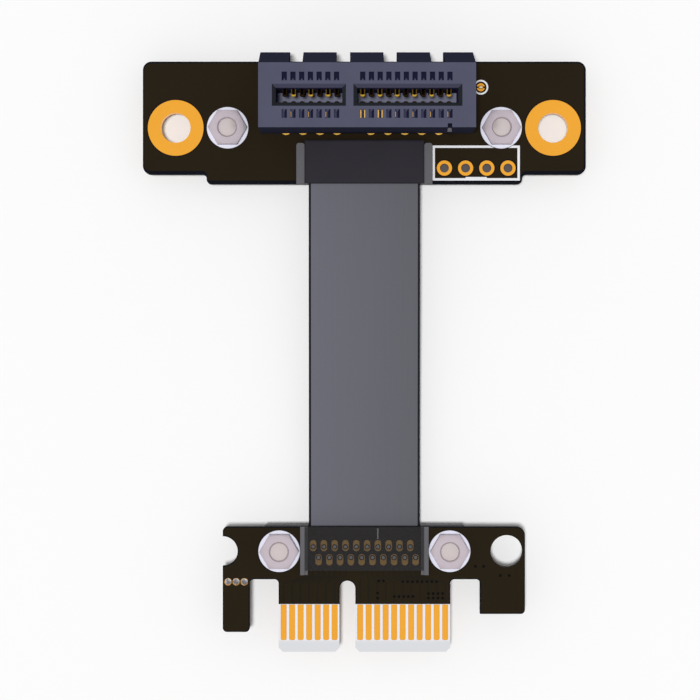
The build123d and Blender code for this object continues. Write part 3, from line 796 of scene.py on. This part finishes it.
def contact(facing, reach, bump_reach):
    """The pin through the board, the leaning strip up to the bump, and two prongs past it."""
    pin = np.array([[reach, -board_thickness], [reach, 0], [reach, shoulder_height - 0.1 * mm]])
    z = np.concatenate([np.linspace(shoulder_height, bump_height - 0.5 * mm, 5),
                        np.linspace(bump_height - 0.3 * mm, bump_height + 0.2 * mm, 8)])
    strip = np.concatenate([pin, np.column_stack([lean(z, bump_reach), z])])
    z = np.linspace(bump_height + 0.02 * mm, tip_height, 9)
    prong = np.column_stack([lean(z, bump_reach), z])
    inner = strip_half_width - prong_width
    parts = [strip_along(strip, -strip_half_width, strip_half_width, 7),
             strip_along(prong, -strip_half_width, -inner), strip_along(prong, inner, strip_half_width)]
    vertices, faces = join(parts)
    return vertices * (1, facing, 1), faces


def contact_painted_shade(bright, tree, colour, rough):
    """Gold on the lit bump of every second contact and brown painted shade elsewhere. The first mask is the
    fraction of X over two pitches, and two more set the heights where the gold begins and where only
    a little of it is left."""
    calc = partial(math_node, tree)
    axes = object_axes(tree)
    start = housing_x + lanes[0] - pitch / 2
    turns = calc("DIVIDE", calc("SUBTRACT", axes["X"], start), 2 * pitch)
    second = calc("GREATER_THAN", calc("FRACT", turns), 0.5)
    high = calc("GREATER_THAN", axes["Z"], socket_front + lit_from)
    past = calc("LESS_THAN", axes["Z"], socket_front + lit_to)
    level = calc("MULTIPLY_ADD", past, 1 - prong_light, prong_light)
    lit = calc("MULTIPLY", calc("MULTIPLY", second, high), calc("MULTIPLY", level, bright))
    # Brown is painted shade on the contacts deep in the slot. Gold stays only on the lit bumps.
    return mix_colour(tree, lit, tone(52, 38, 24), colour), rough


for row, facing, bright, bump_reach in (("upper", 1, 1.0, 0.1 * mm), ("lower", -1, 0.0, 0.5 * mm)):
    skins = []
    for x, reach in zip(lanes, pin_reach):
        vertices, faces = contact(facing, reach, bump_reach)
        skins.append((vertices + (housing_x + x, slot_y, socket_front), faces))
    dress, paint = f"{row}_contact_gold", partial(contact_painted_shade, bright)
    finishes[dress] = grained(
        dress, tone(255, 206, 84), (2500, 0.06), (0.35, 0.1), 2e-7, paint, Metallic=0.15
    )
    piece = make_piece(f"slot_contacts_{row}", *join(skins), dress, "gold")
    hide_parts(f"socket_contacts_{row}")

# %% [markdown]
# ## Small things in and on the socket
# Each window has a wedge on its slot side, which guided the contact in, and a navy sheet below the face as
# painted shade of its depth. The lower ones have a mid-tone web as well, which is painted light of their
# inner wall. These inserts are slate tones stepped darker with depth as painted shade. A raised tick on the
# wall marks the first contact, and a drop of solder joins the two halves of the jumper.

# %% Window wedges and the first contact's tick
housing_top = housing_high.z
window_near = 1.65 * mm
wedge_half_width = 0.17 * mm
wedge_reach = 0.3 * mm
wedge_sink = 0.25 * mm
web_sink = 0.75 * mm
upper_floor_sink = 0.85 * mm
lower_floor_sink = 0.9 * mm
block_depth = 0.6 * mm


def prism(outline, low, high):
    """A flat outline carried straight up from one height to another."""
    return stacked([(outline, low), (outline, high)])


def oblong(left, right, near, far):
    """The four corners of an upright rectangle, given in millimetres."""
    return np.array([[left, near], [right, near], [right, far], [left, far]]) * mm


wedge = np.array([[-wedge_half_width, 0], [wedge_half_width, 0], [0, wedge_reach]])
web = oblong(-0.28, 0.02, 0.0, 1.0)
whole = oblong(-0.3, 0.3, 0.0, 1.0)


def in_windows(outline, facing, places, sink):
    """One outline in each window at the given places, its top that far below the socket's face."""
    return [prism(outline * (1, facing) + (x, slot_y + facing * window_near),
                  housing_top - sink - block_depth, housing_top - sink) for x in housing_x + places]


# Wedges in a slightly darker copy of the slate, as painted shade of their small depth.
wedges = in_windows(wedge, 1, lanes, wedge_sink) + in_windows(wedge, -1, lanes, wedge_sink)
make_piece("window_wedges", *join(wedges), "slate", "moulding")
# Webs: mid-tone plates as painted light of each lower window's inner wall.
webs = in_windows(web, -1, lanes, web_sink)
make_piece("window_webs_painted_light", *join(webs), "shade", "moulding")
# Floors: navy sheets below the face as painted shade of each window's depth.
floors = in_windows(whole, 1, lanes, upper_floor_sink) + in_windows(whole, -1, lanes, lower_floor_sink)
make_piece("window_floors_painted_shade", *join(floors), "navy", "moulding")

# Painted highlights: thin gold slivers in the lower windows, where the edges of some contacts catch the
# light
thin_glint = oblong(-0.02, 0.03, 0.25, 0.85)
wide_glint = oblong(-0.06, 0.06, 0.05, 0.95)
glints = in_windows(thin_glint - (0.24 * mm, 0), -1, lanes[~outer_pin], 0.5 * mm)
for shift in (-0.22 * mm, 0.22 * mm):
    glints += in_windows(wide_glint + (shift, 0), -1, long_group[[0, 2]], 0.4 * mm)
make_piece("window_painted_glints", *join(glints), "soft_gold", "gold")

tick = np.array([[-0.2, 0], [0.2, 0], [0.25, -0.42], [-0.25, -0.42]]) * mm
tick += (housing_x + lanes[-1], housing_low.y)
ticks = prism(tick, housing_top - 1.8 * mm, housing_top - 1.3 * mm)
make_piece("first_contact_tick", *ticks, "grey", "moulding")

# %% Solder on the jumper
jumper_place = np.array([[13.74 * mm, socket_edge + 11.42 * mm]])
waist = foil_pad(rounded(0.52 * mm, 0.4 * mm, 0.02 * mm), foil)
lay_out("jumper_waist", waist, jumper_place, socket_front, "gold")
bridge = foil_pad(rounded(0.36 * mm, 0.24 * mm, 0.1 * mm), 0.08 * mm)
lay_out("jumper_bridge", bridge, jumper_place, socket_front, "pale_solder", "solder")

# %% [markdown]
# ## Plated holes and bare borders
# A plated hole is a gold tube that spreads into a flat ring on each face. The mask stops just short of
# each ring and of the board's edge, so a dark line of bare laminate shows there. Its border follows the
# board's outline: we find the edges that only one front triangle has and step inwards from them.

# %% Plating with rings, and the mask's clearance round it
mask_thickness = 0.006 * mm
ring_gap = 0.11 * mm
perforations = np.array([[-15.09 + k * 0.95, plug_edge / mm - 6.48] for k in (-1, 0, 1)]) * mm
mounting_holes = np.array([[-22.25 * mm, fixing_y], [22.25 * mm, fixing_y]])
header_holes = np.array([[13.19 + (k - 1.5) * 2.5, socket_edge / mm + 1.89] for k in range(4)]) * mm


def plating(hole, ring, low, high, rise):
    """Half of an I-beam's section: the barrel, and a flange on each face with a softened rim."""
    wall, soft = hole + foil, 0.015 * mm
    return turned([(hole, low - rise), (ring - soft, low - rise), (ring, low - rise + soft), (ring, low),
                   (wall, low), (wall, high), (ring, high), (ring, high + rise - soft),
                   (ring - soft, high + rise), (hole, high + rise)])


def clearance(ring, gap, z):
    """A flat dark washer of bare laminate round a ring, as thin as the mask."""
    top = z + mask_thickness
    return turned([(ring, z), (ring + gap, z), (ring + gap, top), (ring, top)])


hole_sets = (("mounting", mounting_holes, 1.75 * mm, 3.3 * mm),
             ("power", header_holes, 0.525 * mm, 0.91 * mm))
for kind, places, hole, ring in hole_sets:
    barrel = plating(hole, ring, socket_back, socket_front, foil)
    ring_piece = lay_out(f"{kind}_hole_rings", barrel, places, 0.0, "gold")
    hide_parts(f"{kind}_hole_plating")
    gap = clearance(ring, ring_gap, socket_front)
    lay_out(f"{kind}_ring_clearance", gap, places, 0.0, "bare", "board")

low, high = plug_back - 0.01 * mm, plug_front + 0.01 * mm
tube = turned([(0.4 * mm, low), (0.424 * mm, low), (0.424 * mm, high), (0.4 * mm, high)], 40)
lay_out("leg_hole_plating", tube, perforations, 0.0, "gold")

# %% Bare borders along the boards' outlines
def front_outline(node):
    """Corners of a board's front face in order. Those directed edges of its triangles that have no
    reverse bound the face, and from the leftmost corner they lead all round it."""
    shell = bmesh.new()
    shell.from_mesh(frame["nodes"][node].data)
    bmesh.ops.remove_doubles(shell, verts=shell.verts, dist=1e-6)
    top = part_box(node)[1].z
    front = [f for f in shell.faces if f.normal.z > 0.99 and f.calc_center_median().z > top - 0.01 * mm]
    directed = {(turn.vert.index, turn.link_loop_next.vert.index) for f in front for turn in f.loops}
    after = {a: b for a, b in directed if (b, a) not in directed}
    corners = np.array([corner.co[:2] for corner in shell.verts])
    shell.free()
    start = min(after, key=lambda corner: corners[corner, 0])
    loop = [start]
    while after[loop[-1]] != start:
        loop.append(after[loop[-1]])
    return corners[loop]


def border(outline, z, left, right, low, high):
    """A thin closed band inside an outline, with its own width on each side of the board. A corner's
    inward step is twice the sum of its edges' outward normals over the square of that sum."""
    run = np.roll(outline, -1, axis=0) - outline
    normal = np.column_stack([run[:, 1], -run[:, 0]]) / np.linalg.norm(run, axis=1)[:, None]
    total = normal + np.roll(normal, 1, axis=0)
    step = 2 * total / (total ** 2).sum(axis=1)[:, None]
    width = np.column_stack([np.where(step[:, 0] < 0, left, right), np.where(step[:, 1] < 0, low, high)])
    inner = outline - step * width
    top = z + mask_thickness
    return stacked([(outline, z), (outline, top), (inner, top), (inner, z)], wrap=True)


socket_widths = np.array([0.15, 0.25, 0.42, 0.2]) * mm
plug_widths = np.full(4, 0.12 * mm)
for board, front, widths in (("socket", socket_front, socket_widths), ("plug", plug_front, plug_widths)):
    band = border(front_outline(f"{board}_board"), front, *widths)
    make_piece(f"{board}_board_border", *band, "bare", "board")

# %% [markdown]
# ## The ribbon
# The ribbon leaves the front of one board, dips gently and slides behind the other. Its section is a
# rounded rectangle with a shallow flute between each two wires. It is carried along a path whose slope
# ramps up and down, so the two bends are smooth.

# %% Ribbon as a section carried along a path
ribbon_depth = 1.0 * mm
ribbon_upper = socket_front + ribbon_depth / 2
ribbon_lower = plug_back - ribbon_depth / 2
bend_start = 12.0 * mm
bend_reach = 0.45 * bend_start
flute_depth = 0.02 * mm
ribbon_corner = 0.3 * mm


def ribbon_section(points=321):
    """The wide faces are evenly sampled and a cosine of the wire pitch lowers them between the wires.
    At each side two quarter circles join them round a short flat."""
    half = ribbon_half - ribbon_corner
    x = np.linspace(-half, half, points // 2)
    flute = flute_depth * 0.5 * (np.cos(2 * math.pi * (x / conductor_pitch - 0.5)) - 1)
    upper = np.column_stack([x, ribbon_depth / 2 + flute])
    t = np.linspace(0, math.pi / 2, 8)
    flat = ribbon_depth / 2 - ribbon_corner
    right = np.column_stack([half + ribbon_corner * np.sin(t), flat + ribbon_corner * np.cos(t)])
    right = np.concatenate([right, right[::-1] * (1, -1)])
    return np.concatenate([upper, right[1:], upper[::-1] * (1, -1), right[::-1][:-1] * (-1, 1)])


def ribbon_path(start, end, points=81):
    """The slope rises to its full value across the first bend and falls back across the second, and
    the height is its running sum."""
    y = np.linspace(start, end, points)
    corners = (socket_edge - bend_start, plug_edge + bend_start)
    slope = (ribbon_upper - ribbon_lower) / (corners[0] - corners[1])
    ramp = [np.clip((corner + bend_reach - y) / (2 * bend_reach), 0, 1) for corner in corners]
    tilt = slope * (ramp[0] - ramp[1])
    step = np.diff(y)
    z = ribbon_upper + np.concatenate([[0], np.cumsum(step * (tilt[1:] + tilt[:-1]) / 2)])
    return y, z, tilt


section = ribbon_section()
path_y, path_z, path_tilt = ribbon_path(ribbon_high.y, ribbon_low.y)
sheet_rings = np.stack([
    np.column_stack([section[:, 0], y - section[:, 1] * t, z + section[:, 1]])
    for y, z, t in zip(path_y, path_z, path_tilt)
])
ribbon_piece = make_piece("ribbon_jacket", *skin(sheet_rings), "ribbon")
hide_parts("ribbon_cable")
print("ribbon drops", round((path_z[0] - path_z[-1]) / mm, 3), "mm")

# %% [markdown]
# ## Copper under the mask
# Tracks and filled holes lie under the mask, so they show only as faint swellings of another tone. Each
# track goes down from a wire's pad, jogs sideways to its finger and goes on to the tongue. It is a thin
# strip with sloped sides, carried along four points.

# %% Tracks and tented holes
track_width = 0.2 * mm
track_height = 0.012 * mm


def track(points):
    """At each point of a flat path two points stand half a width off along the mean normal of its two
    runs, and a narrower pair above them makes the sloped sides."""
    points = np.asarray(points)
    runs = np.diff(points, axis=0)
    runs /= np.linalg.norm(runs, axis=1)[:, None]
    along = np.concatenate([runs[:1], runs[:-1] + runs[1:], runs[-1:]])
    along /= np.linalg.norm(along, axis=1)[:, None]
    beside = np.column_stack([-along[:, 1], along[:, 0]])
    offsets = ((-0.5, 0.0), (-0.38, track_height), (0.38, track_height), (0.5, 0.0))
    sides = [at_height(points + beside * share * track_width, z) for share, z in offsets]
    return skin(np.stack(sides, axis=1))


wires = np.concatenate([conductors[:7], conductors[9:]])
levels = plug_edge - np.array([4.9, 5.75, 6.6, 9.05]) * mm
escapes = [track(np.column_stack([[wire, wire, lane, lane], levels])) for wire, lane in zip(wires, lanes)]
vertices, faces = join(escapes)
tracks = (vertices + (0, 0, plug_front), faces)
make_piece("plug_board_tracks", *tracks, "track_mask", "board", sharp=80)


def place_row(start, end, count, down):
    """Evenly spaced places in a row, given by its two ends and how far down the board it is."""
    return np.column_stack([np.linspace(start, end, count), np.full(count, -down)]) * mm


via_rows = [
    (4.52, 8.5, 8, 6.46), (3.52, 5.71, 5, 8.21), (7.53, 9.2, 4, 7.86), (7.53, 9.2, 4, 8.39),
    (1.69, 2.24, 2, 6.38), (1.54, 1.54, 1, 7.8), (1.54, 1.54, 1, 8.41), (13.06, 14.03, 2, 4.66),
    (15.99, 17.04, 2, 5.74),
]
vias = np.concatenate([place_row(*row) for row in via_rows]) + (0, plug_edge)
button = dome(0.17 * mm, 0.025 * mm, 16, 4)
lay_out("plug_board_vias", button, vias, plug_front, "hole_mask", "board", sharp=80)

# %% [markdown]
# ## Camera
# The photograph looks straight down from about 40 cm, so the tall socket shows a little of its side. The
# camera's width of view follows from the photograph's 8.48 pixels to a millimetre at the boards.

# %% Camera
picture_size = 700
pixels_per_mm = 8.478
view_width = picture_size / pixels_per_mm * mm
camera_height = 0.4
sensor = 36.0
camera_data = bpy.data.cameras.new("camera")
camera_data.sensor_width = sensor
camera_data.lens = sensor * camera_height / view_width
camera = add_object("camera", camera_data)
middle_x_pixel = 364.35
socket_edge_pixel = 184.1
camera.location = (
    (picture_size / 2 - middle_x_pixel) / pixels_per_mm * mm,
    socket_edge + (socket_edge_pixel - picture_size / 2) / pixels_per_mm * mm,
    socket_front + camera_height,
)
bpy.context.scene.camera = camera
print("lens", round(camera_data.lens, 1), "mm, camera at", [round(c, 4) for c in camera.location])

# %% [markdown]
# ## Floor and light
# The lead lies on a white table. One soft lamp above fills the slots with light and is left out of
# reflections, so that flat metal doesn't flare. The room gives the rest. In reflections it dims towards
# the horizon, which gives the round metal parts their shape.

# %% Floor
floor_mesh = bpy.data.meshes.new("table")
floor_reach = 3.0
floor_bounce = 0.38
floor_white = 0.98
floor_corners = np.array([[-1, -1, 0], [1, -1, 0], [1, 1, 0], [-1, 1, 0]]) * floor_reach
floor_mesh.from_pydata(floor_corners.tolist(), [], [(0, 1, 2, 3)])
floor = add_object("table", floor_mesh)


def seen_or_mirrored(tree):
    """1 for rays from the camera, off gloss or through glass, and 0 for rays that carry light."""
    path = add_node(tree, "LightPath")
    either = math_node(tree, "MAXIMUM", path.outputs["Is Camera Ray"], path.outputs["Is Glossy Ray"])
    return math_node(tree, "MAXIMUM", either, path.outputs["Is Transmission Ray"])


def grey(level):
    """A grey of one linear level."""
    return (level, level, level, 1)


def table_finish():
    """White where it is seen, mid-grey where it only throws light back on the lead."""
    material = bpy.data.materials.new("white_table")
    material.use_nodes = True
    tree = material.node_tree
    shader = tree.nodes["Principled BSDF"]
    shown = mix_colour(tree, seen_or_mirrored(tree), grey(floor_bounce), grey(floor_white))
    tree.links.new(shown, shader.inputs["Base Color"])
    shader.inputs["Roughness"].default_value = 0.9
    shader.inputs["Specular IOR Level"].default_value = 0.0
    return material


floor_mesh.materials.append(table_finish())

# %% Lamp and room
room_level = 0.34
horizon = (0.15, 0.95)
dimming = (0.5, 1.0)
lamp_tilt = (2, -3, 0)
lamp_spread = 6
lamp_data = bpy.data.lights.new("overhead", "SUN")
lamp_data.energy = (1 - room_level) * math.pi
lamp_data.angle = math.radians(lamp_spread)
lamp = add_object("overhead", lamp_data)
lamp.rotation_euler = np.radians(lamp_tilt)
lamp.visible_glossy = False

room = bpy.data.worlds.new("room")
bpy.context.scene.world = room
room.use_nodes = True
tree = room.node_tree
background = tree.nodes["Background"]
direction = split_xyz(tree, add_node(tree, "TexCoord").outputs["Generated"])
height = map_range(tree, direction["Z"], *horizon, *dimming)
path = add_node(tree, "LightPath")
mirrored = mix_colour(tree, path.outputs["Is Glossy Ray"], grey(1), height)
shown = mix_colour(tree, seen_or_mirrored(tree), grey(room_level), mirrored)
tree.links.new(shown, background.inputs["Color"])
bpy.context.scene.view_settings.view_transform = "Standard"
